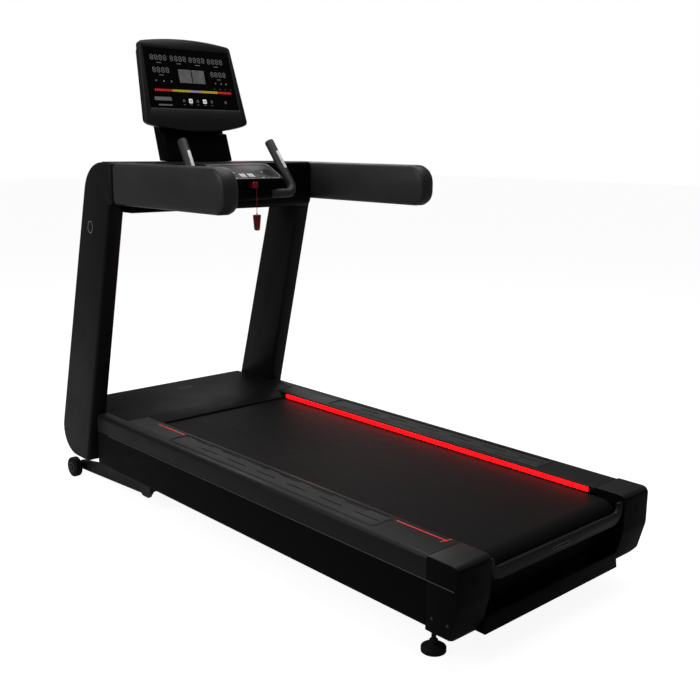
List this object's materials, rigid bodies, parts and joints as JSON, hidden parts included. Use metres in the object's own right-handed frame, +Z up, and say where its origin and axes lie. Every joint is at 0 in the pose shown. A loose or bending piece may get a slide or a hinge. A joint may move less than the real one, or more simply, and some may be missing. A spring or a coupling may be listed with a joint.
{
  "type": "treadmill",
  "caption": "Motorised treadmill with full-length arm rails, console display, lit deck edges, power incline lift frame on front wheels and levelling rear feet.",
  "frame": {"origin": "on the floor below the middle of the machine's box", "axes": "+Y towards the console end (the way the runner faces), +X to the runner's right, +Z up"},
  "size_m": [0.925, 2.1, 1.7164],
  "materials": {
    "steel_coat": "satin powder coat",
    "upright_coat": "satin powder coat",
    "bright_steel": "brushed",
    "roller_aluminium": "turned",
    "cast_block": "cast",
    "motor_body": "painted ribbed casting",
    "black_cover": "fine grained moulding",
    "grey_panel": "satin",
    "arm_grip": "soft-touch moulding",
    "belt_rubber": "matte woven face",
    "black_rubber": "matte",
    "deck_board": "waxed board",
    "screen_glass": "gloss",
    "red_light": "lit diffuser",
    "red_plastic": "satin",
    "red_cord": "braided",
    "button_white": "satin"
  },
  "bodies": {
    "frame": {"frame_beam_left": "steel_coat", "frame_beam_right": "steel_coat", "cross_member_front": "steel_coat", "cross_member_middle": "steel_coat", "cross_member_rear": "steel_coat", "motor_plate": "steel_coat", "running_deck": "deck_board", "deck_cushion_left": "black_rubber", "deck_cushion_right": "black_rubber", "running_belt": "belt_rubber", "rear_axle": "bright_steel", "front_bearing_left": "cast_block", "front_bearing_right": "cast_block", "drive_belt": "black_rubber", "drive_motor": "motor_body", "motor_controller": "grey_panel", "power_inlet": "black_rubber", "rail_cover_left": "black_cover", "rail_cover_right": "black_cover", "side_panel_left": "black_cover", "side_panel_right": "black_cover", "rear_cap_left": "black_cover", "rear_cap_right": "black_cover", "led_strip_left": "red_light", "led_strip_right": "red_light", "motor_hood": "black_cover", "hood_lip": "black_cover", "rear_bar": "grey_panel", "rear_shelf": "black_cover", "upright_left": "upright_coat", "upright_right": "upright_coat", "handrail_left": "arm_grip", "handrail_right": "arm_grip", "console_beam": "black_cover", "control_pod": "grey_panel", "grip_mount": "black_cover", "pulse_grip_left": "arm_grip", "pulse_grip_right": "arm_grip", "pulse_sensor_left": "bright_steel", "pulse_sensor_right": "bright_steel", "display_bezel": "black_cover", "display_screen": "screen_glass", "display_back": "black_cover", "display_mast": "black_cover", "incline_motor": "motor_body"},
    "front_roller": {"front_roller": "roller_aluminium", "drive_pulley": "bright_steel"},
    "rear_roller": {"rear_roller": "roller_aluminium"},
    "motor_shaft": {"motor_pulley": "bright_steel"},
    "lift": {"lift_frame": "steel_coat"},
    "lift_wheel_left": {"lift_wheel_left": "black_rubber"},
    "lift_wheel_right": {"lift_wheel_right": "black_rubber"},
    "lift_screw": {"lift_screw": "bright_steel"},
    "foot_left": {"levelling_foot_left": "black_rubber"},
    "foot_right": {"levelling_foot_right": "black_rubber"},
    "start_button": {"start_button": "button_white"},
    "stop_button": {"stop_button": "button_white"},
    "safety_key": {"safety_key": "red_plastic", "lanyard_cord": "red_cord", "lanyard_clip": "red_plastic"}
  },
  "joints": [
    {"name": "front_roller_spin", "type": "hinge", "parent": "frame", "child": "front_roller", "pos_m": [0, 0.65, 0.245], "axis": [-1, 0, 0], "continuous": true},
    {"name": "rear_roller_spin", "type": "hinge", "parent": "frame", "child": "rear_roller", "pos_m": [0, -0.978, 0.245], "axis": [-1, 0, 0], "continuous": true},
    {"name": "motor_shaft_spin", "type": "hinge", "parent": "frame", "child": "motor_shaft", "pos_m": [-0.333, 0.875, 0.226], "axis": [-1, 0, 0], "continuous": true},
    {"name": "incline_lift", "type": "hinge", "parent": "frame", "child": "lift", "pos_m": [0, 0.5, 0.077], "axis": [-1, 0, 0], "range_deg": [0, 30]},
    {"name": "lift_screw_slide", "type": "slide", "parent": "frame", "child": "lift_screw", "axis": [0, 1, 0], "range_m": [0, 0.04679]},
    {"name": "lift_wheel_left_spin", "type": "hinge", "parent": "lift", "child": "lift_wheel_left", "pos_m": [-0.423, 1.008, 0.04], "axis": [1, 0, 0], "continuous": true},
    {"name": "lift_wheel_right_spin", "type": "hinge", "parent": "lift", "child": "lift_wheel_right", "pos_m": [0.423, 1.008, 0.04], "axis": [1, 0, 0], "continuous": true},
    {"name": "foot_left_turn", "type": "hinge", "parent": "frame", "child": "foot_left", "pos_m": [-0.356, -0.9, 0], "axis": [0, 0, 1], "continuous": true},
    {"name": "foot_right_turn", "type": "hinge", "parent": "frame", "child": "foot_right", "pos_m": [0.356, -0.9, 0], "axis": [0, 0, 1], "continuous": true},
    {"name": "start_button_press", "type": "slide", "parent": "frame", "child": "start_button", "axis": [0, 0.4472, -0.8944], "range_m": [0, 0.0013], "stiffness_N_per_m": 400},
    {"name": "stop_button_press", "type": "slide", "parent": "frame", "child": "stop_button", "axis": [0, 0.4472, -0.8944], "range_m": [0, 0.0013], "stiffness_N_per_m": 400},
    {"name": "safety_key_pull", "type": "slide", "parent": "frame", "child": "safety_key", "axis": [0, -1, 0], "range_m": [0, 0.03]}
  ],
  "couplings": [
    {"joint": "rear_roller_spin", "follows": "front_roller_spin", "ratio": 1},
    {"joint": "motor_shaft_spin", "follows": "front_roller_spin", "ratio": 2.2075},
    {"joint": "lift_screw_slide", "follows": "incline_lift", "m_per_rad": 0.088975}
  ]
}
